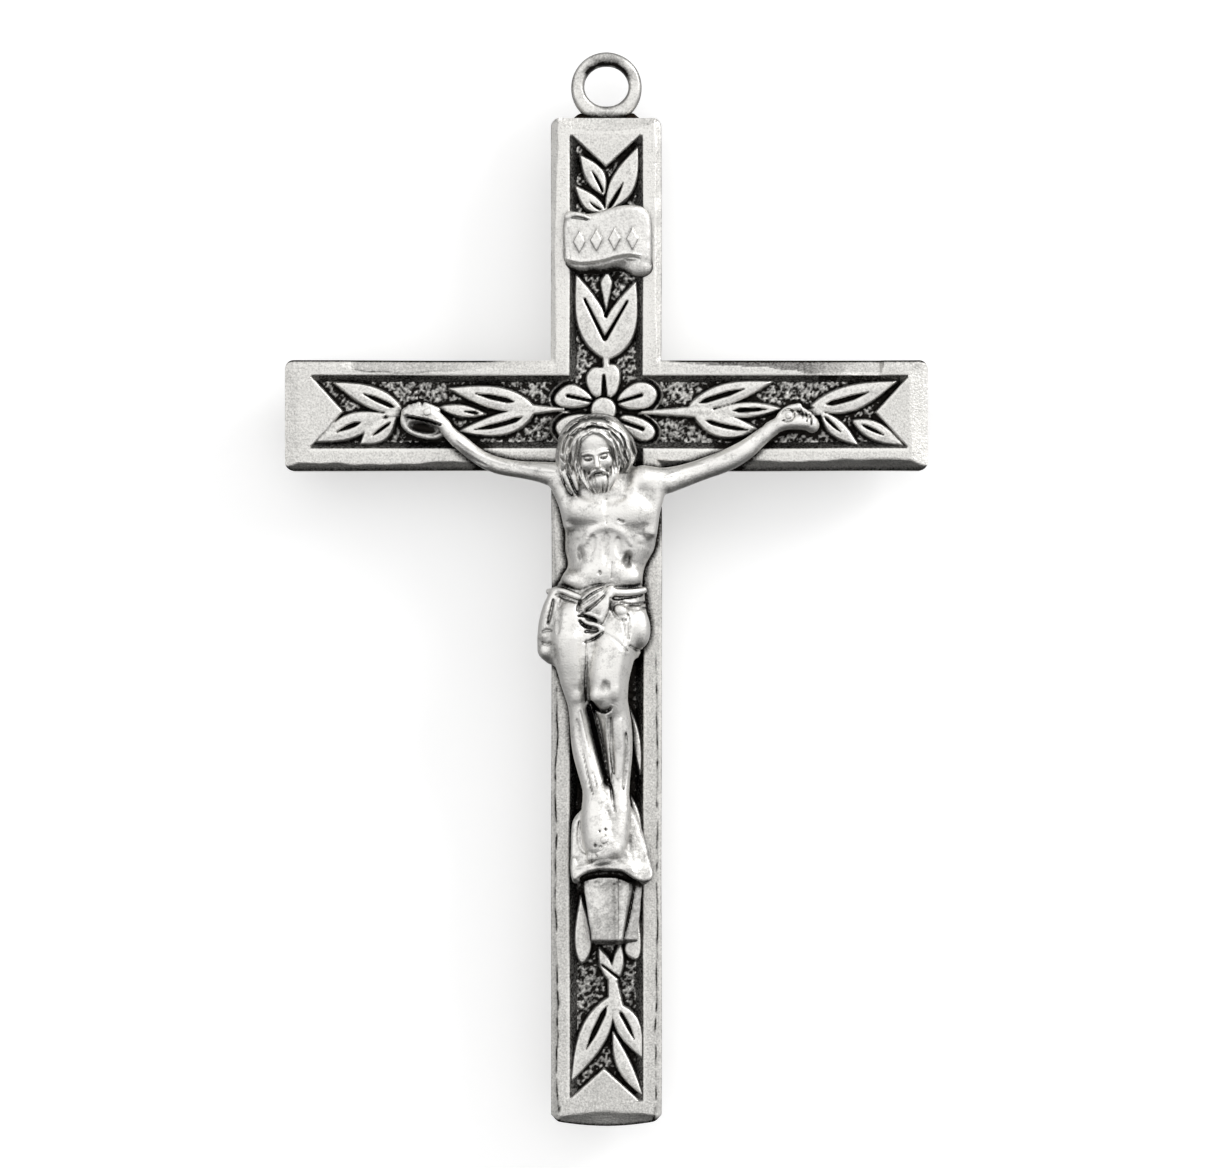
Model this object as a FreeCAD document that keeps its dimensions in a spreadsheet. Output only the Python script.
"""A silver crucifix pendant, in millimetres, as a parametric FreeCAD document.

The frame: +Z up, -Y out of the face of the cross, origin at the centre of the hanging ring's hole.
The struck cross plate hangs under the ring. A cast figure on a foot rest and a rolled title scroll
are pegged and riveted to its face. Each driving dimension is a cell of the sheet "sizes".
"""

import FreeCAD
import Part
import math
import os
import Sketcher

from FreeCAD import Placement, Rotation, Vector

SIZES = [
    ("plate_top", -1.38, "top end of the cross plate"),
    ("plate_bottom", -46.07, "bottom end of the cross plate"),
    ("bar_level", -14.56, "middle of the crossbar"),
    ("bar_span", 28.5, "length of the crossbar"),
    ("limb_width", 4.9, "width of the upright and of the crossbar"),
    ("plate_depth", 2.0, "thickness of the cross plate"),
    ("edge_bevel", 0.28, "bevel round the front edge"),
    ("field_level", -14.4, "middle of the field in the crossbar, and of the flower"),
    ("field_width", 3.14, "width of the sunk field"),
    ("field_depth", 0.5, "depth of the sunk field"),
    ("field_top", -2.15, "upper tips of the field"),
    ("field_bottom", -44.9, "lower tips of the field"),
    ("field_reach", 13.2, "side tips of the field, from the middle"),
    ("notch_depth", 1.4, "how far each swallowtail notch cuts in"),
    ("relief_height", 0.46, "height of the leaves over the field"),
    ("ring_hole", 1.0, "radius of the hanging ring's hole"),
    ("ring_outside", 1.58, "outside radius of the hanging ring"),
    ("ring_depth", 1.2, "front to back size of the hanging ring"),
    ("ring_round", 0.22, "rounding of the hanging ring's edges"),
    ("solder_width", 2.96, "length of the solder along the plate's top end"),
    ("solder_height", 0.28, "height of the solder beside the ring"),
    ("rivet_radius", 0.3, "radius of the rivets' and peg's shanks"),
    ("tail_radius", 0.46, "radius of the upset tails in the plate's back"),
    ("tail_depth", 0.3, "depth of the upset tails' countersinks"),
    ("nail_radius", 0.42, "radius of the rivets' nail heads"),
    ("nail_rise", 0.2, "height of the rivets' nail heads"),
    ("hand_level", -14.6, "level of the nails in the hands"),
    ("left_nail", -8.0, "nail in the hand at the viewer's left"),
    ("right_nail", 8.1, "nail in the hand at the viewer's right"),
    ("hand_front", 1.6, "distance from the plate's middle plane to the hands' fronts"),
    ("foot_nail", -33.4, "level of the nail in the feet"),
    ("foot_front", 3.1, "distance from the plate's middle plane to the upper foot's front"),
    ("peg_front", 1.25, "distance from the plate's middle plane to the front end of the scroll's peg"),
    ("scroll_middle", 0.06, "how far the scroll sits off the upright's middle"),
    ("scroll_level", -6.86, "middle of the title scroll"),
    ("scroll_width", 3.96, "width of the title scroll"),
    ("scroll_height", 2.6, "height between the title scroll's rolled edges"),
    ("scroll_depth", 0.42, "thickness of the title scroll's sheet"),
    ("roll_radius", 0.3, "radius of the title scroll's rolled edges"),
    ("rest_middle", 0.22, "how far the foot rest sits off the upright's middle"),
    ("board_top", -31.9, "upper edge of the foot rest's board"),
    ("board_bottom", -35.25, "lower edge of the foot rest's board"),
    ("board_top_width", 2.3, "width of the board at its upper edge"),
    ("board_width", 3.6, "width of the board at its lower edge"),
    ("board_lip", 0.2, "how far the board's upper edge stands off the plate"),
    ("board_reach", 1.6, "how far the board's lower edge stands off the plate"),
    ("block_bottom", -38.0, "lower end of the block under the board"),
    ("block_top_width", 2.65, "width of the block at its top"),
    ("block_width", 2.05, "width of the block at its lower end"),
    ("block_top_reach", 1.25, "how far the block's top stands off the plate"),
    ("block_reach", 0.7, "how far the block's lower end stands off the plate"),
]

# The struck leaves, as (root x, root z, tip x, tip z, half width, bend), measured from the flower's
# middle. The bend moves a leaf's middle to the left of its way from root to tip.
LEAVES_LEFT = [
    (-9.1, 0.1, -11.9, 1.2, 0.42, -0.2),
    (-9.6, -0.1, -12.6, -1.33, 0.4, -0.12),
    (-9.15, -0.3, -10.75, -1.36, 0.28, 0.1),
    (-3.35, 0.15, -6.75, 1.0, 0.44, -0.3),
    (-3.35, -0.05, -6.4, -0.95, 0.44, 0.28),
    (-5.1, 0.0, -7.45, 0.3, 0.24, -0.06),
]
LEAVES_RIGHT = [
    (4.1, 0.1, 7.6, 1.1, 0.4, 0.3),
    (4.1, -0.1, 6.95, -0.9, 0.42, -0.3),
    (4.8, 0.05, 7.7, 0.1, 0.3, -0.06),
    (9.2, 0.15, 12.8, 1.25, 0.44, 0.14),
    (9.4, 0.0, 11.15, -1.4, 0.34, 0.16),
    (10.9, -0.1, 12.9, -1.4, 0.34, 0.14),
]
LEAVES_ABOVE = [
    (-0.1, 9.0, 1.42, 11.55, 0.52, -0.2),
    (-0.2, 9.4, -1.05, 11.1, 0.34, -0.06),
    (-0.2, 8.8, -1.25, 9.85, 0.28, 0.1),
    (-0.1, 2.75, -1.1, 6.2, 0.48, 0.3),
    (0.1, 2.75, 1.25, 5.6, 0.48, -0.3),
    (0.1, 4.1, 0.1, 6.0, 0.26, 0.0),
]
LEAVES_BELOW = [
    (-0.9, -21.4, -1.2, -24.6, 0.28, -0.06),
    (0.9, -21.4, 1.4, -24.25, 0.28, 0.08),
    (0.85, -25.4, -0.1, -23.95, 0.2, 0.1),
    (0.85, -25.4, 0.65, -24.0, 0.18, -0.06),
    (0.35, -26.1, -1.35, -29.65, 0.44, -0.3),
    (0.5, -26.1, 1.5, -28.7, 0.34, 0.22),
    (0.4, -27.6, 1.5, -30.2, 0.3, -0.24),
]
# The stems, as (start x, start z, end x, end z, width), from the flower's middle.
STEMS = [
    (-3.6, 0.0, -1.9, 0.0, 0.28),
    (1.9, -0.05, 4.4, -0.05, 0.32),
    (-9.4, 0.0, -8.4, 0.0, 0.3),
    (8.5, 0.0, 9.5, 0.0, 0.3),
    (0.0, 2.1, 0.0, 3.0, 0.26),
    (-0.25, -24.6, 0.5, -26.3, 0.4),
]
# The flower's petals, as (angle from +X, length, half width).
PETALS = [(90, 1.95, 0.6), (22, 2.45, 0.5), (158, 2.45, 0.5), (-24, 2.5, 0.48), (204, 2.5, 0.48)]
PETAL_ROOT = 0.35
BOSS_RADIUS = 0.5
SLOT_HALF_WIDTH = 0.07
SLOT_START = 0.18
SLOT_BEND_AT_START = 0.6  # a slot's shift from the leaf's middle line, as a share of the leaf's bend
SLOT_END = 0.72
EMBED = 0.06

# The figure's limbs, as stations (x, z, stand-off, half width, half depth). A stand-off is how far
# the middle of the limb's section lies in front of the plate's face.
ARM_LEFT = [
    (-0.9, -17.7, 0.5, 0.7, 0.8), (-2.3, -17.1, 0.45, 0.62, 0.75), (-3.9, -16.95, 0.4, 0.5, 0.62),
    (-5.5, -16.35, 0.35, 0.4, 0.5), (-6.7, -15.4, 0.3, 0.32, 0.4), (-7.4, -14.85, 0.25, 0.44, 0.36),
    (-8.3, -14.75, 0.2, 0.68, 0.4), (-9.0, -14.8, 0.15, 0.42, 0.32),
]
ARM_RIGHT = [
    (0.9, -17.9, 0.5, 0.75, 0.8), (2.3, -17.4, 0.45, 0.68, 0.78), (3.9, -16.85, 0.4, 0.56, 0.66),
    (5.4, -16.25, 0.35, 0.46, 0.54), (6.7, -15.35, 0.3, 0.36, 0.42), (7.5, -14.95, 0.25, 0.46, 0.36),
    (8.4, -14.75, 0.2, 0.74, 0.42), (9.3, -14.75, 0.15, 0.46, 0.34),
]
LEG_LEFT = [
    (-1.2, -23.6, 0.5, 1.05, 1.3), (-1.15, -25.6, 0.85, 0.95, 1.2), (-1.1, -27.2, 1.1, 0.68, 0.85),
    (-1.0, -28.6, 0.85, 0.66, 0.8), (-0.65, -30.0, 0.75, 0.5, 0.62), (-0.35, -31.4, 0.75, 0.36, 0.46),
    (-0.35, -32.6, 1.15, 0.44, 0.5), (-0.3, -33.8, 1.6, 0.5, 0.4), (-0.3, -34.7, 1.75, 0.4, 0.28),
]
LEG_RIGHT = [
    (0.9, -23.6, 0.5, 1.0, 1.3), (0.4, -25.6, 0.95, 0.95, 1.2), (0.15, -27.0, 1.25, 0.68, 0.9),
    (0.6, -28.6, 0.9, 0.66, 0.8), (0.75, -30.0, 0.7, 0.46, 0.6), (0.6, -31.4, 0.6, 0.36, 0.46),
    (0.6, -32.6, 0.9, 0.44, 0.5), (0.85, -33.8, 1.3, 0.46, 0.4), (0.95, -34.6, 1.5, 0.34, 0.26),
]
TRUNK = [
    (0.05, -16.9, 0.25, 0.9, 1.3), (0.1, -17.6, 0.2, 1.9, 1.6), (0.15, -18.8, 0.2, 2.1, 1.95),
    (0.1, -20.2, 0.1, 1.9, 1.9), (-0.05, -21.6, 0.1, 1.6, 1.65), (-0.4, -22.7, 0.2, 2.1, 1.9),
    (-0.5, -24.0, 0.2, 2.35, 2.0), (-0.35, -25.2, 0.2, 1.9, 1.7),
]
NECK_AND_BEARD = [
    (0.05, -18.0, 0.5, 0.7, 0.7), (-0.1, -17.4, 1.3, 0.6, 0.75), (-0.15, -16.6, 1.6, 0.9, 0.8),
    (-0.2, -15.9, 1.6, 0.8, 0.8),
]
HEAD = [
    (-0.5, -14.6, 1.0, 0.7, 0.6), (-0.45, -15.0, 1.2, 1.15, 1.0), (-0.35, -15.8, 1.35, 1.25, 1.15),
    (-0.25, -16.5, 1.4, 1.0, 1.0), (-0.2, -17.1, 1.3, 0.6, 0.7),
]
HAIR_LEFT = [
    (-0.9, -14.9, 1.0, 0.5, 0.9), (-1.45, -15.9, 0.9, 0.6, 0.9), (-1.5, -17.0, 0.8, 0.5, 0.8),
    (-1.2, -18.0, 1.2, 0.3, 0.6),
]
HAIR_RIGHT = [
    (0.3, -14.9, 1.0, 0.5, 0.9), (0.85, -15.9, 0.9, 0.55, 0.9), (1.0, -16.8, 0.8, 0.45, 0.8),
    (0.8, -17.5, 0.8, 0.3, 0.6),
]
CLOTH_SWAG = [
    (-1.7, -22.6, 1.5, 0.5, 0.5), (-0.4, -23.2, 1.9, 0.42, 0.45), (0.4, -23.1, 2.1, 0.55, 0.5),
    (1.3, -22.8, 1.6, 0.4, 0.45),
]
CLOTH_LEFT = [
    (-2.2, -22.4, 0.5, 0.75, 1.2), (-2.3, -23.7, 0.6, 0.8, 1.3), (-2.25, -25.0, 0.5, 0.75, 1.1),
    (-2.1, -25.6, 0.4, 0.4, 0.7),
]
CLOTH_RIGHT = [
    (1.3, -22.6, 0.6, 0.55, 1.1), (1.4, -23.6, 0.7, 0.55, 1.3), (1.2, -24.4, 0.7, 0.45, 1.2),
    (1.1, -25.0, 0.6, 0.3, 0.9),
]
SECTION_POINTS = 8

doc = FreeCAD.newDocument("crucifix_pendant")
sheet = doc.addObject("Spreadsheet::Sheet", "sizes")


def fill_sheet():
    for row, (alias, number, about) in enumerate(SIZES, start=1):
        sheet.set(f"A{row}", about)
        sheet.set(f"B{row}", str(number))
        sheet.setAlias(f"B{row}", alias)
    doc.recompute()


def size(alias):
    return float(getattr(sheet, alias))


def value(formula):
    """What a formula over the sheet's cells gives now."""
    return float(sheet.evalExpression(formula))


def bound(kind, name, placement=None, **formulas):
    """A Part object whose properties follow formulas over the sheet."""
    made = doc.addObject(kind, name)
    if placement:
        made.Placement = placement
    for path, formula in formulas.items():
        made.setExpression(path, formula)
    return made


def shaped(name, shape):
    made = doc.addObject("Part::Feature", name)
    made.Shape = shape
    made.Placement = Placement()
    return made


def fused(name, pieces):
    made = doc.addObject("Part::MultiFuse", name)
    made.Shapes = pieces
    return made


def grouped(name, pieces):
    made = doc.addObject("Part::Compound", name)
    made.Links = pieces
    return made


def cut(name, base, tool):
    made = doc.addObject("Part::Cut", name)
    made.Base = base
    made.Tool = tool
    return made


def new_body(name):
    body = doc.addObject("PartDesign::Body", name)
    body.Placement = Placement()
    return body


def outline(body, name, role, corners):
    """A closed sketch on one of the body's own planes, each corner fixed by a pair of formulas."""
    sketch = body.newObject("Sketcher::SketchObject", name)
    plane = next(item for item in body.Origin.OriginFeatures if item.Role == role)
    sketch.AttachmentSupport = [(plane, "")]
    sketch.MapMode = "FlatFace"
    points = [Vector(value(across), value(up), 0) for across, up in corners]
    for start, end in zip(points, points[1:] + points[:1]):
        sketch.addGeometry(Part.LineSegment(start, end), False)
    for index, corner in enumerate(corners):
        before = (index - 1) % len(corners)
        sketch.addConstraint(Sketcher.Constraint("Coincident", before, 2, index, 1))
        for word, formula in zip(("DistanceX", "DistanceY"), corner):
            distance = Sketcher.Constraint(word, -1, 1, index, 1, value(formula))
            number = sketch.addConstraint(distance)
            sketch.setExpression(f"Constraints[{number}]", formula)
    return sketch


def edges_at_depth(shape, depth):
    """The names of the edges that lie in the plane y = depth."""
    return [
        f"Edge{number}"
        for number, edge in enumerate(shape.Edges, start=1)
        if all(abs(vertex.Y - depth) < 1e-6 for vertex in edge.Vertexes)
    ]


def make_plate():
    """The cross plate with its bevelled front edge and its sunk, swallow-tailed field."""
    body = new_body("cross_plate")
    half = "sizes.limb_width / 2"
    reach = "sizes.bar_span / 2"
    upper = "sizes.bar_level + sizes.limb_width / 2"
    lower = "sizes.bar_level - sizes.limb_width / 2"
    right_side = [
        (half, "sizes.plate_top"), (half, upper), (reach, upper),
        (reach, lower), (half, lower), (half, "sizes.plate_bottom"),
    ]
    left_side = [(f"-({across})", up) for across, up in reversed(right_side)]
    pad = body.newObject("PartDesign::Pad", "plate_pad")
    pad.Profile = outline(body, "plate_outline", "XZ_Plane", right_side + left_side)
    pad.Midplane = True
    pad.setExpression("Length", "sizes.plate_depth")
    doc.recompute()

    bevel = body.newObject("PartDesign::Chamfer", "plate_bevel")
    bevel.Base = (pad, edges_at_depth(pad.Shape, -value("sizes.plate_depth / 2")))
    bevel.setExpression("Size", "sizes.edge_bevel")
    doc.recompute()

    half = "sizes.field_width / 2"
    reach = "sizes.field_reach"
    upper = "sizes.field_level + sizes.field_width / 2"
    lower = "sizes.field_level - sizes.field_width / 2"
    right_side = [
        ("0", "sizes.field_top - sizes.notch_depth"), (half, "sizes.field_top"), (half, upper),
        (reach, upper), ("sizes.field_reach - sizes.notch_depth", "sizes.field_level"), (reach, lower),
        (half, lower), (half, "sizes.field_bottom"),
    ]
    left_side = [(f"-({across})", up) for across, up in reversed(right_side[1:])]
    bottom_notch = [("0", "sizes.field_bottom + sizes.notch_depth")]
    sketch = outline(body, "field_outline", "XZ_Plane", right_side + bottom_notch + left_side)
    sketch.setExpression("AttachmentOffset.Base.z", "sizes.plate_depth / 2")
    pocket = body.newObject("PartDesign::Pocket", "field_pocket")
    pocket.Profile = sketch
    pocket.setExpression("Length", "sizes.field_depth")
    doc.recompute()
    if pocket.Shape.Volume >= bevel.Shape.Volume:
        raise RuntimeError("the field's pocket cut nothing")
    return body


def raised(wire, height):
    """A flat outline in the field's floor, sunk a little and raised to a height."""
    face = Part.Face(wire)
    face.translate(Vector(0, EMBED, 0))
    return face.extrude(Vector(0, -height - EMBED, 0))


def leaf_wire(root, tip, half_width, bend):
    """A leaf's outline: one arc along each side, meeting at its root and tip."""
    middle = (root + tip) / 2
    along = (tip - root).normalize()
    left = Vector(-along.z, 0, along.x)
    sides = [middle + left * (bend + half_width), middle + left * (bend - half_width)]
    arcs = [Part.Arc(root, side, tip).toShape() for side in sides]
    return Part.Wire(arcs)


def bar_wire(start, end, half_width):
    """A straight bar's outline, from start to end."""
    along = (end - start).normalize()
    left = Vector(-along.z, 0, along.x) * half_width
    corners = [start + left, end + left, end - left, start - left]
    return Part.makePolygon(corners + corners[:1])


def make_relief():
    """The vine and the flower that are struck up from the field's floor."""
    floor = value("sizes.field_depth - sizes.plate_depth / 2")
    height = size("relief_height")
    field_level = size("field_level")

    def place(across, up):
        return Vector(across, floor, field_level + up)

    leaves = [
        (place(root_x, root_z), place(tip_x, tip_z), half_width, bend)
        for root_x, root_z, tip_x, tip_z, half_width, bend in (
            LEAVES_LEFT + LEAVES_RIGHT + LEAVES_ABOVE + LEAVES_BELOW
        )
    ]
    for angle, length, half_width in PETALS:
        across = math.cos(math.radians(angle))
        up = math.sin(math.radians(angle))
        root = place(PETAL_ROOT * across, PETAL_ROOT * up)
        leaves.append((root, place(length * across, length * up), half_width, 0))

    raised_pieces = [raised(leaf_wire(*leaf), height) for leaf in leaves]
    for start_x, start_z, end_x, end_z, width in STEMS:
        bar = bar_wire(place(start_x, start_z), place(end_x, end_z), width / 2)
        raised_pieces.append(raised(bar, height))
    boss_edge = Part.Edge(Part.Circle(place(0, 0), Vector(0, 1, 0), BOSS_RADIUS))
    raised_pieces.append(raised(Part.Wire(boss_edge), height))
    relief = raised_pieces[0].multiFuse(raised_pieces[1:])

    slots = []
    for root, tip, _, bend in leaves:
        left = Vector(-(tip - root).z, 0, (tip - root).x).normalize() * bend
        start = root + (tip - root) * SLOT_START + left * SLOT_BEND_AT_START
        end = root + (tip - root) * SLOT_END + left
        slots.append(raised(bar_wire(start, end, SLOT_HALF_WIDTH), height + EMBED))
    relief = relief.cut(slots)
    return shaped("cross_relief", relief)


def make_rivet(name, x_formula, z_formula, seat, has_head):
    """A turned rivet along Y, from its upset tail in the plate's back to its nail head or blunt end."""
    body = new_body(name)
    back = "sizes.plate_depth / 2"
    seat = f"-({seat})"
    corners = [
        ("0", back), ("sizes.tail_radius", back),
        ("sizes.rivet_radius", f"{back} - sizes.tail_depth"), ("sizes.rivet_radius", seat),
    ]
    if has_head:
        corners += [
            ("sizes.nail_radius", seat),
            ("sizes.nail_radius", f"{seat} - sizes.nail_rise / 2"),
            ("sizes.nail_radius / 2", f"{seat} - sizes.nail_rise"),
            ("0", f"{seat} - sizes.nail_rise"),
        ]
    else:
        corners.append(("0", seat))
    sketch = outline(body, f"{name}_profile", "XY_Plane", corners)
    turned = body.newObject("PartDesign::Revolution", f"{name}_turned")
    turned.Profile = sketch
    turned.ReferenceAxis = (sketch, ["V_Axis"])
    turned.Angle = 360
    body.setExpression("Placement.Base.x", x_formula)
    body.setExpression("Placement.Base.z", z_formula)
    return body


def make_ring():
    """The hanging ring, turned about Y, rounded over, and filed flat where it stands on the plate."""
    body = new_body("ring_stock")
    half = "sizes.ring_depth / 2"
    corners = [
        ("sizes.ring_hole", f"-{half}"), ("sizes.ring_outside", f"-{half}"),
        ("sizes.ring_outside", half), ("sizes.ring_hole", half),
    ]
    sketch = outline(body, "ring_profile", "XY_Plane", corners)
    turned = body.newObject("PartDesign::Revolution", "ring_turned")
    turned.Profile = sketch
    turned.ReferenceAxis = (sketch, ["V_Axis"])
    turned.Angle = 360
    doc.recompute()
    half_depth = value(half)
    rounded = body.newObject("PartDesign::Fillet", "ring_rounding")
    edges = edges_at_depth(turned.Shape, half_depth) + edges_at_depth(turned.Shape, -half_depth)
    rounded.Base = (turned, edges)
    rounded.setExpression("Radius", "sizes.ring_round")

    filed_off = bound("Part::Box", "ring_foot", Length="2 * sizes.ring_outside", Width="sizes.ring_depth")
    filed_off.setExpression("Height", "sizes.ring_outside")
    filed_off.setExpression("Placement.Base.x", "-sizes.ring_outside")
    filed_off.setExpression("Placement.Base.y", "-sizes.ring_depth / 2")
    filed_off.setExpression("Placement.Base.z", "sizes.plate_top - sizes.ring_outside")
    return cut("hanging_ring", body, filed_off)


def make_solder(ring_space):
    """The solder run into the corners between the ring and the plate's top end."""
    body = new_body("solder_block")
    foot = "sizes.solder_width / 2"
    crown = "sizes.solder_width / 2 - sizes.solder_height / 2"
    top = "sizes.plate_top + sizes.solder_height"
    corners = [
        (f"-({foot})", "sizes.plate_top"), (foot, "sizes.plate_top"), (crown, top), (f"-({crown})", top),
    ]
    pad = body.newObject("PartDesign::Pad", "solder_pad")
    pad.Profile = outline(body, "solder_outline", "XZ_Plane", corners)
    pad.Midplane = True
    pad.setExpression("Length", "sizes.ring_depth")
    return cut("ring_solder", body, ring_space)


def make_scroll():
    """The title scroll: a flat sheet whose upper and lower edges are rolled forward."""
    turned_across = Placement(Vector(0, 0, 0), Rotation(Vector(0, 1, 0), 90))
    left = "sizes.scroll_middle - sizes.scroll_width / 2"
    face = "-sizes.plate_depth / 2"
    sheet_box = bound(
        "Part::Box", "scroll_sheet",
        Length="sizes.scroll_width", Width="sizes.scroll_depth", Height="sizes.scroll_height",
    )
    sheet_box.setExpression("Placement.Base.x", left)
    sheet_box.setExpression("Placement.Base.y", f"{face} - sizes.scroll_depth")
    sheet_box.setExpression("Placement.Base.z", "sizes.scroll_level - sizes.scroll_height / 2")
    rolls = []
    for name, sign in (("scroll_upper_roll", "+"), ("scroll_lower_roll", "-")):
        roll = bound(
            "Part::Cylinder", name, turned_across,
            Radius="sizes.roll_radius", Height="sizes.scroll_width",
        )
        roll.setExpression("Placement.Base.x", left)
        roll.setExpression("Placement.Base.y", f"{face} - sizes.roll_radius")
        roll.setExpression("Placement.Base.z", f"sizes.scroll_level {sign} sizes.scroll_height / 2")
        rolls.append(roll)
    return fused("scroll_whole", [sheet_box] + rolls)


def frustum(name, bottom, top, half_width, top_half_width, reach, top_reach):
    """A block on the plate's face that tapers from its bottom level to its top level."""
    upright = Placement(Vector(0, 0, 0), Rotation(Vector(1, 0, 0), 90))
    face = "sizes.plate_depth / 2"
    middle = "sizes.rest_middle"
    return bound(
        "Part::Wedge", name, upright,
        Ymin=bottom, Ymax=top,
        Xmin=f"{middle} - {half_width}", Xmax=f"{middle} + {half_width}",
        Zmin=face, Zmax=f"{face} + {reach}",
        X2min=f"{middle} - {top_half_width}", X2max=f"{middle} + {top_half_width}",
        Z2min=face, Z2max=f"{face} + {top_reach}",
    )


def make_foot_rest():
    """The foot rest: a sloping board over a tapered block."""
    board = frustum(
        "rest_board", "sizes.board_bottom", "sizes.board_top",
        "sizes.board_width / 2", "sizes.board_top_width / 2", "sizes.board_reach", "sizes.board_lip",
    )
    block = frustum(
        "rest_block", "sizes.block_bottom", "sizes.board_bottom",
        "sizes.block_width / 2", "sizes.block_top_width / 2", "sizes.block_reach", "sizes.block_top_reach",
    )
    return fused("rest_whole", [board, block])


def section_wire(middle, along, half_width, half_depth):
    """A closed oval across a limb: its width lies in the XZ plane, its depth across that."""
    side = along.cross(Vector(0, 1, 0)).normalize()
    depth = along.cross(side).normalize()
    points = []
    for index in range(SECTION_POINTS):
        angle = 2 * math.pi * index / SECTION_POINTS
        across = side * (half_width * math.cos(angle))
        points.append(middle + across + depth * (half_depth * math.sin(angle)))
    curve = Part.BSplineCurve()
    curve.interpolate(points, PeriodicFlag=True)
    return Part.Wire(curve.toShape())


def limb(stations):
    """A closed solid through a row of oval stations, straight from each to the next."""
    face = value("sizes.plate_depth / 2")
    middles = [Vector(x, -face - stand_off, z) for x, z, stand_off, _, _ in stations]
    last = len(stations) - 1
    wires = []
    for index, (_, _, _, half_width, half_depth) in enumerate(stations):
        along = middles[min(index + 1, last)] - middles[max(index - 1, 0)]
        wires.append(section_wire(middles[index], along.normalize(), half_width, half_depth))
    return Part.makeLoft(wires, True, True)


def behind_plane(depth):
    """All the space behind the plane y = -depth, round the whole cross."""
    span = size("bar_span")
    height = -size("plate_bottom")
    return Part.makeBox(span, span, height, Vector(-span / 2, -depth, -height))


def make_figure():
    """The cast figure with its flat back, before its rivet holes are cut."""
    rows = [
        TRUNK, HEAD, NECK_AND_BEARD, HAIR_LEFT, HAIR_RIGHT, ARM_LEFT, ARM_RIGHT,
        LEG_LEFT, LEG_RIGHT, CLOTH_LEFT, CLOTH_RIGHT, CLOTH_SWAG,
    ]
    behind = behind_plane(value("sizes.plate_depth / 2"))
    flat_backed = [limb(stations).cut(behind) for stations in rows]
    figure = flat_backed[0]
    for piece in flat_backed[1:]:
        figure = figure.fuse(piece)
    return shaped("figure_whole", figure)


def make_parts():
    """Every sub-part, by the name of its node."""
    hand = ("sizes.hand_level", "sizes.hand_front", True)
    left_rivet = make_rivet("left_hand_rivet", "sizes.left_nail", *hand)
    right_rivet = make_rivet("right_hand_rivet", "sizes.right_nail", *hand)
    foot_rivet = make_rivet("foot_rivet", "0", "sizes.foot_nail", "sizes.foot_front", True)
    peg = make_rivet("scroll_peg", "sizes.scroll_middle", "sizes.scroll_level", "sizes.peg_front", False)
    hand_rivets = grouped("hand_rivets", [left_rivet, right_rivet])

    turned_back = Rotation(Vector(1, 0, 0), 90)
    ring_space = bound(
        "Part::Cylinder", "ring_space", Placement(Vector(0, 0, 0), turned_back),
        Radius="sizes.ring_outside", Height="sizes.ring_depth",
    )
    ring_space.setExpression("Placement.Base.y", "sizes.ring_depth / 2")

    struck = fused("cross_struck", [make_plate(), make_relief()])
    drilled = grouped("cross_holes", [hand_rivets, foot_rivet, peg])
    foot_rest = cut("foot_rest", make_foot_rest(), foot_rivet)
    figure_space = fused("figure_space", [foot_rest, left_rivet, right_rivet, foot_rivet])
    return {
        "cross_body": cut("cross_body", struck, drilled),
        "hanging_ring": make_ring(),
        "ring_solder": make_solder(ring_space),
        "title_scroll": cut("title_scroll", make_scroll(), peg),
        "scroll_peg": peg,
        "corpus": cut("corpus", make_figure(), figure_space),
        "hand_rivets": hand_rivets,
        "foot_rest": foot_rest,
        "foot_rivet": foot_rivet,
    }


def check(parts):
    """Stop if any object of the document failed, or any sub-part's shape is missing or wrong."""
    for item in doc.Objects:
        if "Invalid" in item.State or "Error" in item.State:
            raise RuntimeError(f"{item.Name} failed: {item.State}")
    for name, item in parts.items():
        if item.Shape.isNull() or not item.Shape.isValid() or not item.Shape.Solids:
            raise RuntimeError(f"{name} has no valid solid")


def export(parts):
    os.makedirs("parts", exist_ok=True)
    for name, item in parts.items():
        item.Label = name
        item.Shape.exportStep(f"parts/{name}.step")
        box = item.Shape.BoundBox
        print(
            f"{name}: {len(item.Shape.Solids)} solid(s), {item.Shape.Volume:.2f} mm3,"
            f" {box.XLength:.2f} x {box.YLength:.2f} x {box.ZLength:.2f}"
        )


fill_sheet()
sub_parts = make_parts()
doc.recompute()
check(sub_parts)
export(sub_parts)
